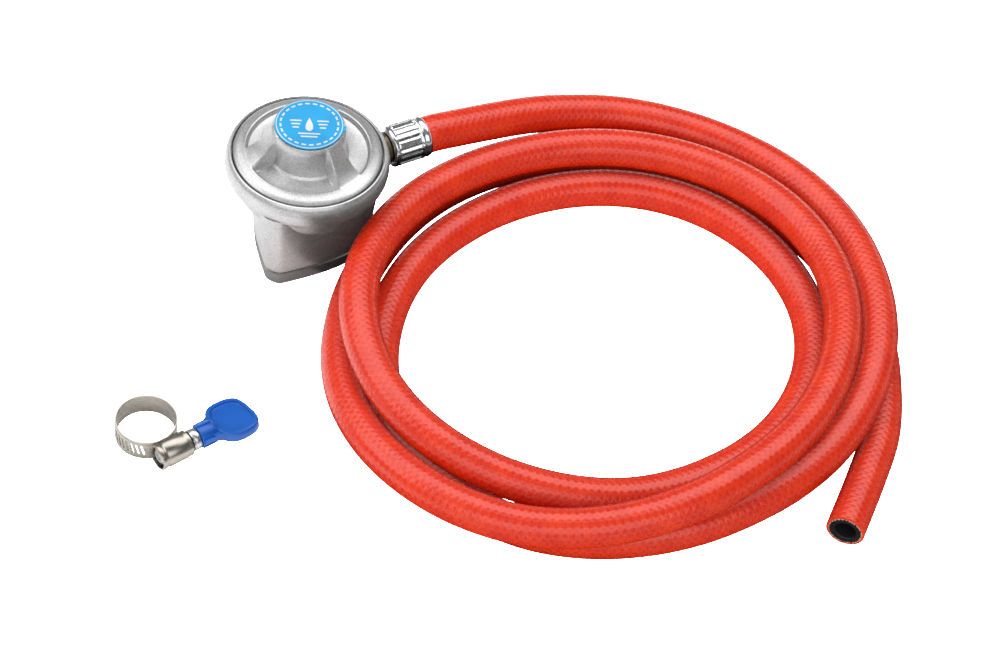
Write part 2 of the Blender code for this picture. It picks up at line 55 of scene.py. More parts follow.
def through(points, steps):
    """Points on a smooth curve through the given ones (Catmull-Rom), steps to each stretch."""
    out = []
    last = len(points) - 1
    for k in range(last):
        p0 = Vector(points[max(k - 1, 0)])
        p1 = Vector(points[k])
        p2 = Vector(points[k + 1])
        p3 = Vector(points[min(k + 2, last)])
        for s in range(steps):
            t = s / steps
            out.append(0.5 * (2.0 * p1 + (p2 - p0) * t + (2.0 * p0 - 5.0 * p1 + 4.0 * p2 - p3) * t * t
                              + (3.0 * p1 - p0 - 3.0 * p2 + p3) * t ** 3))
    out.append(Vector(points[-1]))
    return out


def spaced(line, step):
    """The same line as points a step apart (the step is rounded to fit the length)."""
    lengths = [0.0]
    for a, b in zip(line, line[1:]):
        lengths.append(lengths[-1] + (b - a).length)
    count = max(2, round(lengths[-1] / step) + 1)
    out = []
    k = 0
    for n in range(count):
        want = lengths[-1] * n / (count - 1)
        while k < len(line) - 2 and lengths[k + 1] < want:
            k += 1
        out.append(line[k].lerp(line[k + 1], (want - lengths[k]) / (lengths[k + 1] - lengths[k])))
    return out


def add(name, bm, finish, body, sharp=35.0):
    """Make a piece from a bmesh in metres, in the frame's own coordinates."""
    bmesh.ops.recalc_face_normals(bm, faces=bm.faces)
    mesh = bpy.data.meshes.new(name)
    bm.to_mesh(mesh)
    bm.free()
    obj = bpy.data.objects.new(name, mesh)
    bpy.context.scene.collection.objects.link(obj)
    mesh.materials.append(finish)
    mesh.shade_smooth()
    mesh.set_sharp_from_angle(angle=math.radians(sharp))
    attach(obj, body)
    return obj


def lathe(profile, segments):
    """A closed solid turned about Z from (radius, z) points in millimetres, in order round it."""
    bm = bmesh.new()
    rings = []
    for radius, z in profile:
        count = segments if radius > 0.0 else 1
        ring = []
        for k in range(count):
            angle = 2.0 * math.pi * k / segments
            place = (radius * math.cos(angle), radius * math.sin(angle), z)
            ring.append(bm.verts.new(Vector(place) * MM))
        rings.append(ring)
    join_rings(bm, rings, segments, closed=True)
    return bm


def join_rings(bm, rings, segments, closed=False):
    """Faces between each ring of points and the next, and from the last to the first if closed."""
    pairs = list(zip(rings, rings[1:]))
    if closed and len(rings[0]) > 1 and len(rings[-1]) > 1:
        pairs.append((rings[-1], rings[0]))
    for a, b in pairs:
        for k in range(segments):
            corners = [a[k % len(a)], a[(k + 1) % len(a)], b[(k + 1) % len(b)], b[k % len(b)]]
            corners = list(dict.fromkeys(corners))
            if len(corners) > 2:
                bm.faces.new(corners)


def stacked(layers):
    """A closed solid through outlines with equal counts, in millimetres, capped at both ends."""
    bm = bmesh.new()
    rings = [[bm.verts.new(Vector(p) * MM) for p in layer] for layer in layers]
    join_rings(bm, rings, len(rings[0]))
    bm.faces.new(rings[0])
    bm.faces.new(rings[-1])
    return bm


def box(low, high):
    """A box between two corners, in millimetres."""
    (x0, y0, z0), (x1, y1, z1) = low, high
    plan = [Vector((x0, y0, 0.0)), Vector((x1, y0, 0.0)), Vector((x1, y1, 0.0)), Vector((x0, y1, 0.0))]
    return stacked([[p + Vector((0.0, 0.0, z)) for p in plan] for z in (z0, z1)])


def move(bm, matrix):
    """Transform a bmesh in place and return it."""
    bmesh.ops.transform(bm, matrix=matrix, verts=bm.verts)
    return bm


def at(place, bearing=0.0):
    """A place in metres and a turn about Z."""
    return Matrix.Translation(place) @ Matrix.Rotation(math.radians(bearing), 4, "Z")


def along_level(place, bearing, roll=0.0):
    """Lay +Z level in the direction of bearing, from a place, turned about itself by roll."""
    return (at(place, bearing) @ Matrix.Rotation(math.radians(90.0), 4, "Y")
            @ Matrix.Rotation(math.radians(roll), 4, "Z"))


def solid(bm):
    """A passing object that holds a bmesh for a Boolean."""
    bmesh.ops.recalc_face_normals(bm, faces=bm.faces)
    mesh = bpy.data.meshes.new("tool")
    bm.to_mesh(mesh)
    bm.free()
    obj = bpy.data.objects.new("tool", mesh)
    bpy.context.scene.collection.objects.link(obj)
    return obj


def combined(base, joined=(), removed=()):
    """The mesh of base with some solids joined and others cut away, as a bmesh in metres."""
    tools = [("UNION", solid(bm)) for bm in joined] + [("DIFFERENCE", solid(bm)) for bm in removed]
    start = solid(base)
    for operation, tool in tools:
        modifier = start.modifiers.new("cut", "BOOLEAN")
        modifier.operation = operation
        modifier.solver = "EXACT"
        modifier.object = tool
    graph = bpy.context.evaluated_depsgraph_get()
    result = bmesh.new()
    result.from_mesh(start.evaluated_get(graph).to_mesh())
    for _, tool in tools:
        bpy.data.objects.remove(tool)
    bpy.data.objects.remove(start)
    bmesh.ops.remove_doubles(result, verts=result.verts, dist=1e-7)
    return result


# ---- camera, floor and light -------------------------------------------------------------------
def camera():
    """A long lens from in front and above, turned a little about its own line of sight."""
    elevation = math.radians(48.7)
    roll = math.radians(7.3)
    distance = 1.244
    target = AXIS + Vector((82.3, -37.7, 0.0)) * MM
    forward = Vector((0.0, math.cos(elevation), -math.sin(elevation)))
    right = Vector((1.0, 0.0, 0.0))
    up = Vector((0.0, math.sin(elevation), math.cos(elevation)))
    turned_up = up * math.cos(roll) - right * math.sin(roll)
    turned_right = right * math.cos(roll) + up * math.sin(roll)
    data = bpy.data.cameras.new("camera")
    data.lens = 115.2
    data.sensor_width = 36.0
    data.clip_start = 0.05
    obj = bpy.data.objects.new("camera", data)
    bpy.context.scene.collection.objects.link(obj)
    place = Matrix((turned_right, turned_up, -forward)).transposed().to_4x4()
    place.translation = target - forward * distance
    obj.matrix_world = place
    bpy.context.scene.camera = obj


def area_light(name, place, aim, size, power):
    """A rectangular soft light that faces a point."""
    data = bpy.data.lights.new(name, "AREA")
    data.shape = "RECTANGLE"
    data.size, data.size_y = size
    data.energy = power
    obj = bpy.data.objects.new(name, data)
    bpy.context.scene.collection.objects.link(obj)
    obj.location = place
    obj.rotation_euler = (Vector(aim) - Vector(place)).to_track_quat("-Z", "Y").to_euler()


def floor_and_surround():
    """A plain white floor, lit from within so that it stays white under soft light."""
    bm = bmesh.new()
    bmesh.ops.create_grid(bm, x_segments=1, y_segments=1, size=4.0)
    mesh = bpy.data.meshes.new("floor")
    bm.to_mesh(mesh)
    bm.free()
    floor = bpy.data.objects.new("floor", mesh)
    bpy.context.scene.collection.objects.link(floor)
    floor.location.z = -0.2 * MM
    paper = bpy.data.materials.new("floor_paper")
    paper.use_nodes = True
    shader = paper.node_tree.nodes["Principled BSDF"]
    shader.inputs["Base Color"].default_value = (0.9, 0.9, 0.9, 1.0)
    shader.inputs["Roughness"].default_value = 0.9
    shader.inputs["Emission Color"].default_value = (1.0, 1.0, 1.0, 1.0)
    shader.inputs["Emission Strength"].default_value = 6.0
    mesh.materials.append(paper)
    only_floor = bpy.data.collections.new("lit_by_floor")
    only_floor.objects.link(floor)
    floor.light_linking.receiver_collection = only_floor
    dark_card()
    world = bpy.data.worlds.new("surround")
    world.use_nodes = True
    background = world.node_tree.nodes["Background"]
    background.inputs["Color"].default_value = (1.0, 1.0, 1.0, 1.0)
    background.inputs["Strength"].default_value = 0.2
    bpy.context.scene.world = world


def dark_card():
    """A black card on the floor at the right, seen in reflections only."""
    bm = bmesh.new()
    bmesh.ops.create_grid(bm, x_segments=1, y_segments=1, size=0.2)
    mesh = bpy.data.meshes.new("dark_card")
    bm.to_mesh(mesh)
    bm.free()
    card = bpy.data.objects.new("dark_card", mesh)
    bpy.context.scene.collection.objects.link(card)
    card.location = (0.222, -0.04, 0.2 * MM)
    card.visible_camera = False
    card.visible_diffuse = False
    card.visible_shadow = False
    black = bpy.data.materials.new("card_black")
    black.use_nodes = True
    shader = black.node_tree.nodes["Principled BSDF"]
    shader.inputs["Base Color"].default_value = (0.03, 0.03, 0.03, 1.0)
    shader.inputs["Roughness"].default_value = 1.0
    mesh.materials.append(black)


def studio():
    """Two wide soft boxes, one overhead and a little behind, one low in front, and a side fill."""
    floor_and_surround()
    aim = Vector((0.1, 0.0, 0.0))
    for name, elevation, azimuth, reach, size, power in (
            ("over_box", 112.0, 0.0, 1.25, (2.0, 1.0), 15.0),
            ("front_box", 36.0, 0.0, 1.25, (2.0, 0.75), 8.0),
            ("left_box", 35.0, 90.0, 1.3, (0.9, 0.7), 4.5)):
        tilt = math.radians(elevation)
        level = bearing_vector(270.0 - azimuth, math.cos(tilt))
        area_light(name, aim + (level + Vector((0.0, 0.0, math.sin(tilt)))) * reach, aim, size, power)


# ---- materials ---------------------------------------------------------------------------------
def principled(name, colour, metallic, roughness, **more):
    """A Principled material; more inputs by name, with _ for a space."""
    made = bpy.data.materials.new(name)
    made.use_nodes = True
    shader = made.node_tree.nodes["Principled BSDF"]
    shader.inputs["Base Color"].default_value = (*colour, 1.0)
    shader.inputs["Metallic"].default_value = metallic
    shader.inputs["Roughness"].default_value = roughness
    for key, value in more.items():
        shader.inputs[key.replace("_", " ")].default_value = value
    return made


def math_node(tree, operation, a, b=None):
    """A Math node whose inputs are sockets or numbers; returns its output."""
    made = tree.nodes.new("ShaderNodeMath")
    made.operation = operation
    for socket, value in zip(made.inputs, (a, b)):
        if value is None:
            continue
        if hasattr(value, "is_linked"):
            tree.links.new(value, socket)
        else:
            socket.default_value = value
    return made.outputs[0]


def noise(tree, scale, detail=2.0, roughness=0.5, coordinates=None):
    """A Noise texture on the piece's own coordinates; returns its factor."""
    if coordinates is None:
        coordinates = tree.nodes.new("ShaderNodeTexCoord").outputs["Object"]
    made = tree.nodes.new("ShaderNodeTexNoise")
    made.inputs["Scale"].default_value = scale
    made.inputs["Detail"].default_value = detail
    made.inputs["Roughness"].default_value = roughness
    tree.links.new(coordinates, made.inputs["Vector"])
    return made.outputs["Fac"]


def stretched(tree, scales):
    """The piece's own coordinates stretched along its axes."""
    coordinates = tree.nodes.new("ShaderNodeTexCoord").outputs["Object"]
    mapping = tree.nodes.new("ShaderNodeMapping")
    mapping.inputs["Scale"].default_value = scales
    tree.links.new(coordinates, mapping.inputs["Vector"])
    return mapping.outputs["Vector"]


def between(tree, factor, low, high):
    """A number that follows factor (0 to 1) from low to high."""
    made = tree.nodes.new("ShaderNodeMapRange")
    made.inputs["To Min"].default_value = low
    made.inputs["To Max"].default_value = high
    tree.links.new(factor, made.inputs["Value"])
    return made.outputs["Result"]


def colours(tree, factor, stops):
    """A colour ramp through (position, colour) stops, driven by factor."""
    ramp = tree.nodes.new("ShaderNodeValToRGB")
    while len(ramp.color_ramp.elements) < len(stops):
        ramp.color_ramp.elements.new(0.5)
    for element, (position, colour) in zip(ramp.color_ramp.elements, stops):
        element.position = position
        element.color = (*colour, 1.0)
    tree.links.new(factor, ramp.inputs["Fac"])
    return ramp.outputs["Color"]


def drive(material, colour=None, roughness=None, height=None, depth=0.0, strength=1.0):
    """Connect a colour, a roughness and a relief height (0 to 1, depth in metres) to the shader."""
    tree = material.node_tree
    shader = tree.nodes["Principled BSDF"]
    if colour is not None:
        tree.links.new(colour, shader.inputs["Base Color"])
    if roughness is not None:
        tree.links.new(roughness, shader.inputs["Roughness"])
    if height is not None:
        bump = tree.nodes.new("ShaderNodeBump")
        bump.inputs["Distance"].default_value = depth
        bump.inputs["Strength"].default_value = strength
        tree.links.new(height, bump.inputs["Height"])
        tree.links.new(bump.outputs["Normal"], shader.inputs["Normal"])
    return material


def cast_metal(name, tone, rough, grain):
    """Silver-lacquered die casting: fine metal flake, slight cloudiness, a fine orange-peel."""
    made = principled(name, (tone, tone, tone), 0.82, rough)
    tree = made.node_tree
    flake = noise(tree, 1700.0, 1.0)
    cloud = noise(tree, 70.0, 3.0)
    mixed = math_node(tree, "ADD", math_node(tree, "MULTIPLY", flake, 0.65),
                      math_node(tree, "MULTIPLY", cloud, 0.35))
    low, high = tone * 0.78, min(tone * 1.2, 0.95)
    colour = colours(tree, mixed, [(0.32, (low, low, low * 1.01)), (0.68, (high, high, high * 0.995))])
    return drive(made, colour, between(tree, flake, rough - 0.08, rough + 0.08), flake, grain, 0.3)


def brushed(name, colour, rough, scales):
    """Bright metal with fine marks drawn along one direction."""
    made = principled(name, colour, 1.0, rough)
    tree = made.node_tree
    marks = noise(tree, 1.0, 3.0, 0.6, stretched(tree, scales))
    dark = tuple(c * 0.72 for c in colour)
    light = tuple(min(c * 1.12, 1.0) for c in colour)
    ramp = colours(tree, marks, [(0.3, dark), (0.7, light)])
    return drive(made, ramp, between(tree, marks, rough - 0.08, rough + 0.12), marks, 0.00003, 0.25)


def plastic(name, colour, rough, grain=0.00002):
    """Moulded plastic with a fine spark-eroded grain and faint flow clouds."""
    made = principled(name, colour, 0.0, rough)
    tree = made.node_tree
    fine = noise(tree, 1800.0, 2.0)
    cloud = noise(tree, 90.0, 2.0)
    dark = tuple(c * 0.88 for c in colour)
    light = tuple(min(c * 1.1 + 0.002, 1.0) for c in colour)
    ramp = colours(tree, cloud, [(0.3, dark), (0.7, light)])
    return drive(made, ramp, between(tree, fine, rough - 0.06, rough + 0.08), fine, grain, 0.4)


def hose_rubber():
    """Red rubber with the slanting impression of the cloth that it was cured in."""
    made = principled("hose_rubber", (0.62, 0.02, 0.004), 0.0, 0.27, Specular_IOR_Level=0.6)
    tree = made.node_tree
    uv = tree.nodes.new("ShaderNodeUVMap")
    uv.uv_map = "along_and_round"
    split = tree.nodes.new("ShaderNodeSeparateXYZ")
    tree.links.new(uv.outputs["UV"], split.inputs["Vector"])
    along = math_node(tree, "DIVIDE", split.outputs["X"], 2.9)
    ridges = []
    for threads in (12.0, -12.0):
        around = math_node(tree, "MULTIPLY", split.outputs["Y"], threads)
        phase = math_node(tree, "MULTIPLY", math_node(tree, "ADD", along, around), 2.0 * math.pi)
        ridges.append(math_node(tree, "SINE", phase))
    weave = math_node(tree, "MAXIMUM", ridges[0], ridges[1])
    rough_cloth = math_node(tree, "MULTIPLY", noise(tree, 900.0, 2.0), 0.9)
    relief = math_node(tree, "ADD", math_node(tree, "MULTIPLY", weave, 0.5), rough_cloth)
    # the colour mixes random mottling with painted shade: the cloth impression's ridges are painted
    # lighter and its grooves darker
    tone = math_node(tree, "ADD", math_node(tree, "MULTIPLY", noise(tree, 120.0, 3.0), 0.7),
                     math_node(tree, "MULTIPLY", weave, 0.12))
    colour = colours(tree, tone, [(0.2, (0.66, 0.016, 0.001)), (0.65, (0.84, 0.046, 0.004))])
    roughness = between(tree, noise(tree, 500.0, 2.0), 0.2, 0.36)
    return drive(made, colour, roughness, relief, 0.00016, 0.55)


# ---- hose --------------------------------------------------------------------------------------
HOSE_RADIUS = 7.5
HOSE_LIFT = 36.0                 # height of the outlet above the floor
LINER_RADIUS = 6.1
BORE_RADIUS = 4.0
YARN_RING = 6.3
YARN_COUNT = 34
COIL_CENTRE = (121.0, -39.0)
COIL_START = 139.0
COIL_STEP = -24.0
COIL_STATIONS = [
    (103.0, 36.0), (100.0, 30.0), (105.5, 23.5), (110.0, 19.0), (110.0, 20.5),
    (107.0, 23.0), (105.3, 22.2), (102.5, 17.0), (99.0, 12.5), (99.0, 9.0),
    (100.5, 7.5), (98.0, 7.5), (91.2, 7.5), (84.0, 7.5), (79.0, 7.5),
    (76.0, 7.5), (76.5, 7.5), (79.5, 7.5), (82.5, 7.5), (84.0, 7.5),
    (84.0, 7.5), (82.0, 7.5), (79.5, 7.5), (78.5, 8.5), (81.5, 10.5),
    (88.0, 17.0), (94.0, 23.0), (95.5, 25.0), (94.5, 27.5), (91.0, 25.0),
    (88.0, 22.5), (87.0, 21.5), (88.5, 21.5), (91.0, 22.0), (92.5, 24.0),
    (92.0, 26.5), (91.0, 28.4), (92.0, 28.2), (95.0, 27.5), (102.5, 25.0),
    (109.5, 21.0), (110.5, 18.0), (106.3, 12.4), (99.5, 7.5), (95.5, 7.5),
    (95.0, 7.5), (95.5, 7.5), (97.0, 7.5), (99.0, 7.5), (101.5, 7.5),
    (105.5, 7.5), (110.5, 7.5),
]
TAIL_POINTS = [(230.6, -71.0), (225.8, -92.5), (218.3, -119.5)]
FERRULE_END = 51.1
GAP = 0.3


def hose_route():
    """The hose's centre line, in the frame's metres."""
    outlet = bearing_vector(OUTLET_BEARING)
    points = [outlet * (FERRULE_END + GAP) + Vector((0.0, 0.0, HOSE_LIFT)),
              outlet * (FERRULE_END + 8.0) + Vector((0.0, 0.0, HOSE_LIFT - 0.4))]
    halves = through([Vector((radius, z, 0.0)) for radius, z in COIL_STATIONS], 2)
    centre = Vector((*COIL_CENTRE, 0.0))
    for k, half in enumerate(halves[2:], 2):
        around = bearing_vector(COIL_START + COIL_STEP * k / 2.0, half.x)
        points.append(centre + around + Vector((0.0, 0.0, half.y)))
    points += [Vector((x, y, HOSE_RADIUS)) for x, y in TAIL_POINTS]
    line = through(points, 12)
    for point in line:
        point.z = max(point.z, HOSE_RADIUS)
    return [AXIS + point * MM for point in line]


def frames_along(line):
    """Two unit vectors square to the line at each of its points, without twist."""
    out = []
    across = None
    for k, point in enumerate(line):
        ahead = (line[min(k + 1, len(line) - 1)] - line[max(k - 1, 0)]).normalized()
        if across is None:
            across = ahead.cross(Vector((0.0, 0.0, 1.0))).normalized()
        across = (across - ahead * across.dot(ahead)).normalized()
        out.append((across, across.cross(ahead).normalized()))
    return out


def hose_mesh(line, sides, end_ring, end_depth):
    """The hose's cover: its whole outside, and at the cut end the step in to the liner."""
    bm = bmesh.new()
    uv = bm.loops.layers.uv.new("along_and_round")
    rings = []
    places = []
    radius = HOSE_RADIUS * MM
    axes = frames_along(line)
    walked = 0.0
    for k, point in enumerate(line):
        if k:
            walked += (point - line[k - 1]).length
        rings.append((point, axes[k], radius, walked))
    # a small rounding at the cut, then the wall's inner face back into the hose
    end, side = line[-1], axes[-1]
    ahead = (line[-1] - line[-2]).normalized()
    rings[-1] = (end - ahead * 0.0002, side, radius, walked)
    rings.append((end, side, radius - 0.00025, walked + 0.0003))
    rings.append((end, side, end_ring, walked + 0.001))
    rings.append((end - ahead * end_depth, side, end_ring, walked + 0.003))
    made = []
    for point, (a, b), r, s in rings:
        ring = []
        for j in range(sides):
            angle = 2.0 * math.pi * j / sides
            ring.append(bm.verts.new(point + a * (math.cos(angle) * r) + b * (math.sin(angle) * r)))
        made.append(ring)
        places.append(s)
    for k in range(len(made) - 1):
        for j in range(sides):
            n = (j + 1) % sides
            face = bm.faces.new((made[k][j], made[k][n], made[k + 1][n], made[k + 1][j]))
            corners = ((places[k], j), (places[k], j + 1), (places[k + 1], j + 1), (places[k + 1], j))
            for loop, (s, around) in zip(face.loops, corners):
                loop[uv].uv = (s / MM, around / sides)
    bm.faces.new(made[0])
    bm.faces.new(made[-1])
    return bm


def hose_end(line):
    """The black liner with its bore, and the cut yarns of the reinforcement round it."""
    end = line[-1]
    ahead = (line[-1] - line[-2]).normalized()
    across = ahead.cross(Vector((0.0, 0.0, 1.0))).normalized()
    up = across.cross(ahead).normalized()
    place = Matrix((across, up, ahead)).transposed().to_4x4()
    place.translation = end
    profile = [(BORE_RADIUS + 0.25, -0.05), (BORE_RADIUS, -0.4), (BORE_RADIUS, -24.0), (0.0, -24.0),
               (0.0, -25.0), (LINER_RADIUS, -25.0), (LINER_RADIUS, -0.25), (LINER_RADIUS - 0.2, -0.05)]
    liner = lathe(profile, 64)
    black = plastic("liner_rubber", (0.012, 0.012, 0.014), 0.5, 0.00006)
    liner = add("hose_liner", move(liner, place), black, "regulator")
    yarns = bmesh.new()
    random = Random(7)
    for k in range(YARN_COUNT):
        angle = 2.0 * math.pi * (k + random.uniform(-0.35, 0.35)) / YARN_COUNT
        knot = bmesh.ops.create_icosphere(yarns, subdivisions=2, radius=1.0)["verts"]
        size = Matrix.Diagonal((random.uniform(0.2, 0.36), random.uniform(0.25, 0.6),
                                random.uniform(0.3, 0.45), 1.0))
        spot = Matrix.Rotation(angle, 4, "Z") @ Matrix.Translation((YARN_RING, 0.0, 0.0)) @ size
        scale = Matrix.Diagonal((MM, MM, MM, 1.0))
        bmesh.ops.transform(yarns, matrix=place @ scale @ spot, verts=knot)
    yarns = add("hose_yarns", yarns, plastic("yarn", (0.62, 0.42, 0.28), 0.8, 0.0001), "regulator")
    return [liner, yarns]


def hose(with_pieces):
    """The whole hose, and the pieces on it."""
    line = spaced(hose_route(), 1.6 * MM)
    sheath = add("gas_hose_cover", hose_mesh(line, 48, 6.35 * MM, 9.0 * MM), hose_rubber(), "regulator",
                50.0)
    sheath.visible_glossy = False
    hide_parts("gas_hose")
    hose_end(line) + with_pieces


# ---- regulator ---------------------------------------------------------------------------------
POCKET_BEARING = 262.0
POCKET_HALF_ANGLE = 45.5
SOCKET_RADIUS = 13.8
SCREW_PLACES = [(TOE_BEARING + 2.0, 22.6), (46.0, 20.9), (120.0, 20.9)]


def smooth(value):
    """Smoothstep of a value held between 0 and 1."""
    value = min(max(value, 0.0), 1.0)
    return value * value * (3.0 - 2.0 * value)


def cover():
    """Cover with three sunk pockets between broad flared spokes, a lip round each, and the lug."""
    pocket = [(13.5, 62.2), (14.0, 61.4), (14.3, 58.6), (14.5, 55.4), (14.8, 51.6), (15.2, 49.2),
              (16.0, 48.3), (17.4, 48.05), (20.0, 48.0), (22.4, 48.0), (23.1, 48.2), (23.6, 48.9),
              (24.1, 49.75)]
    spoke = [(13.5, 62.2), (14.0, 61.9), (14.5, 61.2), (15.2, 60.1), (16.1, 58.6), (17.2, 56.8),
             (18.5, 54.9), (19.9, 53.2), (21.3, 51.9), (22.4, 51.1), (23.1, 50.6), (23.6, 50.3),
             (24.1, 50.0)]
    ring = [(24.5, 49.9), (25.0, 49.65), (25.8, 49.3), (27.0, 49.0), (28.1, 48.6), (28.7, 48.1),
            (28.9, 47.4), (28.9, 46.5), (24.0, 46.5), (12.0, 46.5), (11.6, 60.5), (11.6, 62.0)]
    segments = 288
    edge = 4.5
    bm = bmesh.new()
    count = len(pocket) + len(ring)
    rings = [[] for _ in range(count)]
    for j in range(segments):
        bearing = 360.0 * j / segments
        off = (bearing - POCKET_BEARING + 60.0) % 120.0 - 60.0
        for i in range(count):
            if i < len(pocket):
                # the end walls lean, so that a pocket is wider at its mouth and towards its rim
                lean = 3.0 * (i / len(pocket)) - 1.5
                share = smooth((abs(off) - POCKET_HALF_ANGLE - lean + edge / 2.0) / edge)
                radius = pocket[i][0] + (spoke[i][0] - pocket[i][0]) * share
                z = pocket[i][1] + (spoke[i][1] - pocket[i][1]) * share
            else:
                radius, z = ring[i - len(pocket)]
            rings[i].append(bm.verts.new((bearing_vector(bearing, radius) + Vector((0, 0, z))) * MM))
    join_rings(bm, rings, segments, closed=True)
    lug = stacked([[Vector((x, y, z)) for x, y in ((11.9, -h), (end, -h), (end, h), (11.9, h))]
                   for z, end, h in ((47.6, 18.4, 3.3), (56.2, 17.5, 3.0), (56.9, 17.0, 2.6))])
    move(lug, at((0.0, 0.0, 0.0), 186.0))
    vent = move(lathe([(0.0, 15.0), (0.9, 15.0), (0.9, 20.0), (0.0, 20.0)], 24),
                along_level((0.0, 0.0, 53.0 * MM), 186.0))
    whole = move(combined(bm, [lug], [vent]), at(AXIS))
    piece = add("cover_casting", whole, cast_metal("cover_lacquer", 0.58, 0.40, 0.00006), "regulator",
                28.0)
    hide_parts("regulator_cover")


def block_outline():
    """Plan of the lower block about the regulator's axis: a pointed toe and a round heel."""
    half = [(-28.6, 0.0), (-28.0, 2.9), (-25.6, 5.6), (-20.0, 10.6), (-13.0, 16.2), (-4.7, 21.2),
            (3.5, 23.9), (11.5, 22.4), (18.5, 17.0), (22.9, 9.0), (24.4, 0.0)]
    side = through([Vector((u, v, 0.0)) for u, v in half], 8)
    whole = side + [Vector((p.x, -p.y, 0.0)) for p in reversed(side[1:-1])]
    spin = Matrix.Rotation(math.radians(TOE_BEARING - 180.0), 4, "Z")
    return [spin @ (p + Vector((0.0, -1.0, 0.0))) for p in whole]


def block_layers(levels):
    """Layers of the block's plan: each level is (height, how far in from the plan)."""
    layers = []
    for z, inward in levels:
        layers.append([p - p.normalized() * inward + Vector((0.0, 0.0, z)) for p in block_outline()])
    return layers


def body():
    """Die-cast body: rolled rim, conical skirt, drafted block, socket and outlet boss."""
    skin = [(0.0, 20.0), (19.0, 20.0), (21.4, 23.0), (23.6, 26.0), (25.6, 28.8), (27.4, 31.6),
            (28.5, 34.0), (29.4, 36.4), (30.0, 37.3), (30.7, 38.0), (31.3, 39.0), (31.7, 40.2),
            (31.95, 42.0), (31.98, 43.4), (31.9, 44.6), (31.6, 45.8), (31.2, 46.8), (30.8, 47.5),
            (30.3, 48.0), (29.8, 48.1), (29.5, 47.8), (29.4, 47.0), (29.4, 45.2), (25.2, 45.0),
            (25.2, 37.4), (21.5, 33.0), (0.0, 33.0)]
    draft = math.tan(math.radians(6.0))
    levels = [(6.8, 0.7), (7.0, 0.25), (7.5, 0.0)]
    levels += [(7.5 + 31.7 * k / 8, -31.7 * k / 8 * draft) for k in range(1, 9)]
    level_out = along_level((0.0, 0.0, OUTLET_Z), OUTLET_BEARING)
    boss = move(lathe([(0.0, 20.0), (8.2, 20.0), (7.7, 30.0), (7.5, 32.2), (7.0, 32.8), (0.0, 32.8)],
                      64), level_out)
    socket = lathe([(0.0, 0.0), (SOCKET_RADIUS, 0.0), (SOCKET_RADIUS, 23.4), (2.4, 23.4),
                    (2.4, 30.0), (0.0, 30.0)], 96)
    bore = move(lathe([(0.0, 17.0), (5.0, 17.0), (5.0, 40.0), (0.0, 40.0)], 48), level_out)
    inlet = move(lathe([(0.0, 21.0), (2.9, 21.0), (2.9, 31.4), (2.2, 31.4), (2.2, 40.0),
                        (0.0, 40.0)], 32), at(Vector((-9.5, 0.0, 0.0)) * MM, 4.0))
    holes = []
    for bearing, distance in SCREW_PLACES:
        hole = lathe([(0.0, 0.0), (1.7, 0.0), (1.7, 15.0), (0.0, 15.0)], 24)
        holes.append(move(hole, at(bearing_vector(bearing, distance) * MM)))
    whole = combined(lathe(skin, 192), [stacked(block_layers(levels)), boss],
                     [socket, bore, inlet] + holes)
    piece = add("body_casting", move(whole, at(AXIS)), cast_metal("body_lacquer", 0.54, 0.37, 0.00005),
                "regulator", 30.0)
    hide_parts("regulator_body")


def base_plate():
    """The plate under the block, its edges rounded, with the socket's hole and the tab's notch."""
    levels = [(0.0, 1.0), (0.3, 0.6), (0.8, 0.4), (5.6, 0.0), (6.1, 0.1), (6.4, 0.6)]
    hole = lathe([(0.0, -1.0), (SOCKET_RADIUS, -1.0), (SOCKET_RADIUS, 2.0), (17.2, 2.0), (17.2, 8.0),
                  (0.0, 8.0)], 96)
    steps = 12
    notch = []
    for radius, order in ((40.0, range(steps + 1)), (15.6, range(steps, -1, -1))):
        for k in order:
            notch.append(bearing_vector(-22.0 + 56.0 * k / steps, radius))
    notch = stacked([[q + Vector((0.0, 0.0, z)) for q in notch] for z in (-1.0, 8.0)])
    cutters = [hole, notch]
    for bearing, distance in SCREW_PLACES:
        seat = lathe([(0.0, -1.0), (2.9, -1.0), (2.9, 2.2), (1.7, 3.4), (1.7, 8.0), (0.0, 8.0)], 32)
        cutters.append(move(seat, at(bearing_vector(bearing, distance) * MM)))
    whole = move(combined(stacked(block_layers(levels)), [], cutters), at(AXIS))
    piece = add("plate_casting", whole, cast_metal("plate_lacquer", 0.26, 0.38, 0.00005), "regulator",
                30.0)
    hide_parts("base_plate")


def mark(bm, outline):
    """Add a printed mark of this outline, standing just proud of the label."""
    rings = [[bm.verts.new(Vector((q.x, q.y, z)) * MM) for q in outline] for z in (62.8, 62.93)]
    join_rings(bm, rings, len(outline))
    bm.faces.new(rings[0])
    bm.faces.new(rings[1])


def arc(radius, width, start, end, steps):
    """The outline of a stretch of a ring between two bearings."""
    outer = [bearing_vector(start + (end - start) * k / steps, radius) for k in range(steps + 1)]
    inner = [bearing_vector(end + (start - end) * k / steps, radius - width)
             for k in range(steps + 1)]
    return outer + inner


def level_bar(left, right, low, high):
    """The outline of a straight bar on the label."""
    return [Vector((left, low, 0)), Vector((right, low, 0)), Vector((right, high, 0)),
            Vector((left, high, 0))]


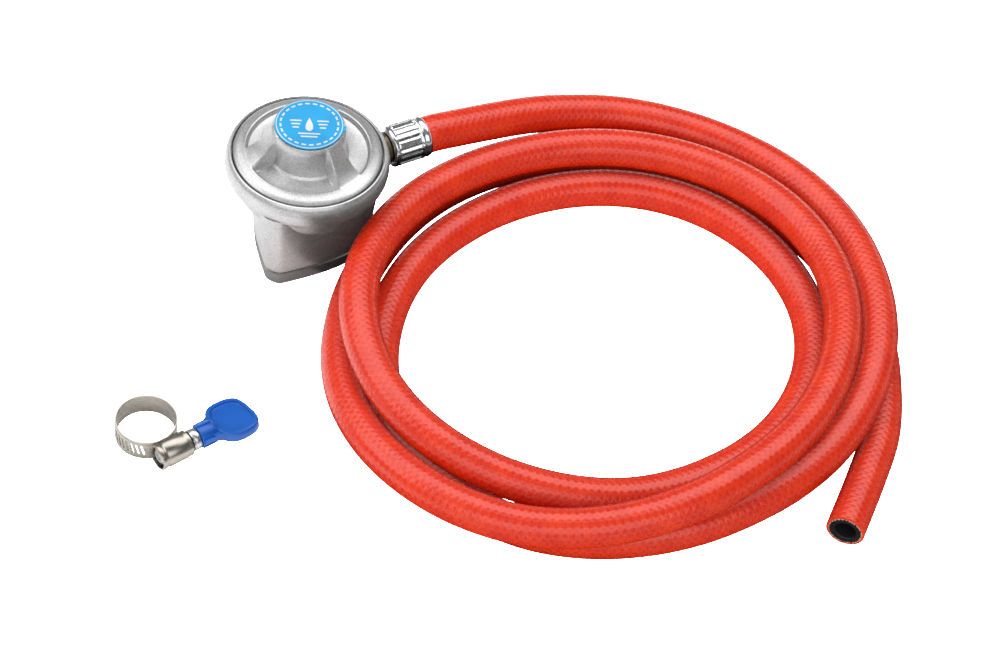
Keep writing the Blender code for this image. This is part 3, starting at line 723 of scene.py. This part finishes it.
def label():
    """The round printed label: blue, with a white edge line, a dashed ring and a gas drop."""
    blue = plastic("label_blue", (0.002, 0.36, 0.74), 0.5, 0.000004)
    white = plastic("label_white", (0.75, 0.78, 0.80), 0.4, 0.000004)
    disc = lathe([(0.0, 62.5), (13.1, 62.5), (13.3, 62.6), (13.3, 62.8), (13.2, 62.86), (0.0, 62.86)],
                 128)
    tab = []
    for z in (62.5, 62.86):
        tab.append([Vector((x, y, z)) for x, y in ((12.6, -1.6), (14.2, -1.2), (14.2, 1.2), (12.6, 1.6))])
    disc = combined(disc, [stacked(tab)])
    piece = add("label_disc", move(disc, at(AXIS)), blue, "regulator", 30.0)
    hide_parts("cover_label")
    marks = bmesh.new()
    for k in range(2):
        mark(marks, arc(12.85, 0.3, 180.0 * k, 180.0 * (k + 1) - 0.02, 60))
    for k in range(24):
        mark(marks, arc(11.4, 0.7, 15.0 * k, 15.0 * k + 9.0, 4))
    for x in (-5.2, 5.2):
        for k in range(3):
            length = 2.2 - 0.5 * k
            y = 1.8 - 1.8 * k
            mark(marks, level_bar(x - length, x + length, y - 0.35, y + 0.35))
    drop = []
    for k in range(32):
        turn = 2.0 * math.pi * k / 32
        width = 2.1 * math.sin(turn) * math.sin(turn / 2.0) ** 1.5
        drop.append(Vector((width, 3.6 * math.cos(turn), 0.0)))
    mark(marks, drop)
    for k in range(2):
        y = -5.4 - 1.6 * k
        mark(marks, level_bar(-4.2 + k, 4.2 - k, y, y + 0.7))
    add("label_marks", move(marks, at(AXIS, 7.0)), white, "regulator", 30.0)


def ferrule():
    """The crimped ferrule: eight long stamped panels between bright ridges, and a plain lip."""
    start, end = 34.8, FERRULE_END
    stations = [(start, 6.9, 0.0), (start + 0.25, 7.4, 0.0), (start + 1.0, 8.3, 0.0)]
    steps = 34
    for k in range(steps + 1):
        u = k / steps
        stations.append((start + 1.4 + 11.6 * u, 8.42, smooth(u * 7.0) * smooth((1.0 - u) * 7.0)))
    stations += [(end - 2.9, 8.3, 0.0), (end - 2.5, 7.85, 0.0), (end - 2.1, 7.9, 0.0),
                 (end - 1.5, 8.25, 0.0), (end - 0.6, 8.2, 0.0), (end - 0.15, 7.95, 0.0),
                 (end, 7.6, 0.0), (end, 5.0, 0.0), (start, 5.0, 0.0)]
    segments = 192
    bm = bmesh.new()
    rings = []
    for x, radius, depth in stations:
        ring = []
        for j in range(segments):
            turn = (j / segments * 8.0) % 1.0
            across = abs(turn - 0.5) * 2.0
            recess = 0.8 * smooth((0.86 - across) * 4.0) * depth
            inner = -0.45 * smooth((0.56 - across) * 4.0) * smooth(depth * 2.2 - 1.2)
            r = radius - recess - inner
            place = bearing_vector(360.0 * j / segments + 27.0, r)
            ring.append(bm.verts.new(Vector((place.x, place.y, x)) * MM))
        rings.append(ring)
    join_rings(bm, rings, segments, closed=True)
    move(bm, along_level(AXIS + Vector((0.0, 0.0, OUTLET_Z)), OUTLET_BEARING))
    piece = add("ferrule_crimped", bm, brushed("chrome", (0.80, 0.81, 0.82), 0.16, (500.0, 500.0, 500.0)),
                "regulator", 40.0)
    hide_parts("hose_ferrule")
    return piece


# ---- loose clip --------------------------------------------------------------------------------
CLIP = AXIS + Vector((-44.05, -110.05, 0.0)) * MM
CLIP_RADIUS = 11.75
CLIP_WIDTH = 9.0
SCREW_BEARING = 42.5
SCREW_AT = CLIP + bearing_vector(SCREW_BEARING - 90.0, 15.3 * MM) + Vector((0.0, 0.0, 5.5 * MM))
KEY_TILT = 13.5
WING_MIDDLE = Vector((28.2, 0.0, 0.0))
SLOT_COUNT = 9
SLOT_SLANT = 14.0                # degrees
FIRST_SLOT = 193.0               # bearing


def clip_band():
    """The rolled band with rounded edges and its slanted slots."""
    r, w = CLIP_RADIUS, CLIP_WIDTH
    band = lathe([(r - 0.75, 0.12), (r - 0.63, 0.0), (r - 0.12, 0.0), (r, 0.12), (r, w - 0.12),
                  (r - 0.12, w), (r - 0.63, w), (r - 0.75, w - 0.12)], 160)
    slots = []
    for k in range(SLOT_COUNT):
        plan = []
        for j in range(24):
            turn = 2.0 * math.pi * j / 24
            end = 2.35 if math.sin(turn) > 0.0 else -2.35
            plan.append(Vector((0.42 * math.cos(turn), 0.42 * math.sin(turn) + end, 0.0)))
        slot = stacked([[q + Vector((0.0, 0.0, x)) for q in plan] for x in (r - 3.0, r + 3.0)])
        outwards = Matrix(((0, 0, 1, 0), (1, 0, 0, 0), (0, 1, 0, 0), (0, 0, 0, 1)))
        tilt = Matrix.Rotation(math.radians(SLOT_SLANT), 4, "X")
        slots.append(move(slot, at((0.0, 0.0, w / 2.0 * MM), FIRST_SLOT + 10.0 * k) @ tilt @ outwards))
    whole = combined(band, [], slots)
    strip = brushed("rolled_strip", (0.43, 0.40, 0.35), 0.27, (120.0, 120.0, 3000.0))
    piece = add("band_strip", move(whole, at(CLIP)), strip, "clip", 30.0)
    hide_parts("clamp_band")
    return strip


def clip_housing(strip):
    """The pressed saddle over the worm, open towards the band, its ends pinched in a little."""
    steps = 40
    mouth = 48.0
    stations = [(-5.2, 0.35), (-5.0, 0.05), (-4.4, 0.0), (-3.6, 0.0), (-3.2, 0.22), (-2.7, 0.3),
                (-2.2, 0.22), (-1.8, 0.0), (5.6, 0.0), (6.0, 0.12), (6.8, 0.15), (7.6, 0.05),
                (8.0, 0.1), (8.2, 0.35)]
    bm = bmesh.new()
    rings = []
    for x, pinch in stations:
        ring = []
        for radius, order in ((5.3 - pinch, range(steps + 1)), (4.5, range(steps, -1, -1))):
            for k in order:
                around = bearing_vector(mouth + (360.0 - 2.0 * mouth) * k / steps, radius)
                ring.append(bm.verts.new(Vector((x, around.x, around.y)) * MM))
        rings.append(ring)
    join_rings(bm, rings, len(rings[0]))
    bm.faces.new(rings[0])
    bm.faces.new(rings[-1])
    move(bm, at(SCREW_AT, SCREW_BEARING))
    piece = add("housing_saddle", bm, strip, "clip", 30.0)
    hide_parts("clamp_housing")


def screw_and_collar():
    """The worm with its thread, its driven end, and the zinc collar."""
    zinc = brushed("zinc_plate", (0.62, 0.63, 0.62), 0.28, (900.0, 900.0, 900.0))
    place = along_level(SCREW_AT, SCREW_BEARING)
    worm = []
    for k in range(6):
        start = -4.2 + 1.9 * k
        worm += [(2.6, start - 0.2), (3.2, start + 0.1), (3.25, start + 0.5), (2.65, start + 0.9)]
    profile = [(0.0, -4.0), (1.1, -4.0), (1.2, -4.6), (2.4, -4.6)] + worm + [(2.6, 8.6), (0.0, 8.6)]
    piece = add("worm_screw", move(lathe(profile, 48), place), zinc, "clip_screw", 35.0)
    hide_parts("clamp_screw")
    collar = [(0.0, 8.9), (3.7, 8.9), (4.2, 9.1), (4.25, 9.5), (4.05, 9.8), (4.25, 10.1), (4.25, 11.6),
              (4.1, 12.1), (3.7, 12.4), (0.0, 12.4)]
    piece = add("zinc_collar", move(lathe(collar, 64), place), zinc, "clip_screw", 35.0)
    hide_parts("screw_collar")


def wing_layer(plan, share, z):
    """The wing's plan, shrunk to a share of its size about its middle, at a height."""
    return [WING_MIDDLE + (q - WING_MIDDLE) * share + Vector((0.0, 0.0, z)) for q in plan]


def thumb_key():
    """Blue moulded key: a ribbed hub that flares into a wing with a raised rim and sunk panels."""
    half = [(19.2, 0.0), (19.6, 4.4), (21.6, 8.4), (25.0, 10.4), (31.0, 10.3), (34.8, 8.2),
            (36.1, 4.2), (36.2, 0.0)]
    side = through([Vector((a, b, 0.0)) for a, b in half], 8)
    plan = side + [Vector((q.x, -q.y, 0.0)) for q in reversed(side[1:-1])]
    edge = ((0.955, -2.2), (0.985, -2.0), (1.0, -1.5), (1.0, 1.5), (0.985, 2.0), (0.955, 2.2))
    wing = stacked([wing_layer(plan, share, z) for share, z in edge])
    panels = []
    for layers in (((0.77, 1.2), (0.80, 1.4), (0.82, 2.6)),
                   ((0.82, -2.6), (0.80, -1.4), (0.77, -1.2))):
        panels.append(stacked([wing_layer(plan, share, z) for share, z in layers]))
    fan = stacked([[Vector((x, y, z)) for x, y in ((16.4, -4.2), (22.8, -7.8), (22.8, 7.8), (16.4, 4.2))]
                   for z in (-1.6, 1.6)])
    hub = move(lathe([(0.0, 12.7), (4.2, 12.7), (4.45, 13.0), (4.5, 13.8), (4.4, 18.6), (3.4, 20.4),
                      (1.2, 21.8), (0.0, 22.0)], 64), along_level((0.0, 0.0, 0.0), 0.0))
    ribs = []
    for k in range(8):
        turn = Matrix.Rotation(math.radians(45.0 * k), 4, "X")
        ribs.append(move(box((13.0, -0.45, 3.0), (18.8, 0.45, 4.85)), turn))
    cross = box((12.9, -5.2, -0.9), (19.5, 5.2, 0.9))
    whole = combined(wing, [fan, hub, cross] + ribs, panels)
    tilt = Matrix.Rotation(math.radians(-KEY_TILT), 4, "X")
    move(whole, at(SCREW_AT, SCREW_BEARING) @ tilt)
    blue = plastic("key_blue", (0.002, 0.105, 0.50), 0.30, 0.00002)
    piece = add("key_moulding", whole, blue, "clip_screw", 30.0)
    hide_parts("thumb_key")


# ---- carried-over nodes ------------------------------------------------------------------------
def finish_frame_nodes():
    """Procedural materials for the CAD nodes that stay."""
    brass = brushed("turned_brass", (0.50, 0.36, 0.16), 0.34, (1200.0, 1200.0, 1200.0))
    steel = brushed("spring_wire", (0.45, 0.45, 0.47), 0.25, (600.0, 600.0, 600.0))
    zinc = brushed("screw_zinc", (0.62, 0.63, 0.62), 0.3, (900.0, 900.0, 900.0))
    rubber = plastic("moulded_rubber", (0.015, 0.015, 0.016), 0.55, 0.00005)
    grey = plastic("tab_grey", (0.42, 0.43, 0.44), 0.42, 0.00003)
    finishes = {
        "spring_adjuster": brass, "main_spring": steel, "diaphragm": rubber,
        "diaphragm_plate": steel, "diaphragm_stem": brass, "valve_lever": steel, "lever_pin": steel,
        "valve_plunger": brass, "valve_pad": rubber, "inlet_jet": brass, "flow_poppet": brass,
        "flow_spring": steel, "flow_retainer": brass, "base_screw_1": zinc, "base_screw_2": zinc,
        "base_screw_3": zinc, "inlet_seal": rubber, "switch_ring": grey, "push_pin": brass,
        # the hose tail's brass is a much darker copy of the turned brass: painted shade where it sits
        # between the outlet boss and the ferrule
        "hose_tail": brushed("brass_in_painted_shade", (0.16, 0.12, 0.07), 0.4, (1200.0, 1200.0, 1200.0))}
    for name, finish in finishes.items():
        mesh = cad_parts[name].data
        mesh.materials.clear()
        mesh.materials.append(finish)


bpy.context.scene.view_settings.view_transform = "Standard"
camera()
studio()
hose([ferrule(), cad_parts["hose_tail"]])
cover()
body()
base_plate()
label()
screw_and_collar()
clip_housing(clip_band())
thumb_key()
finish_frame_nodes()
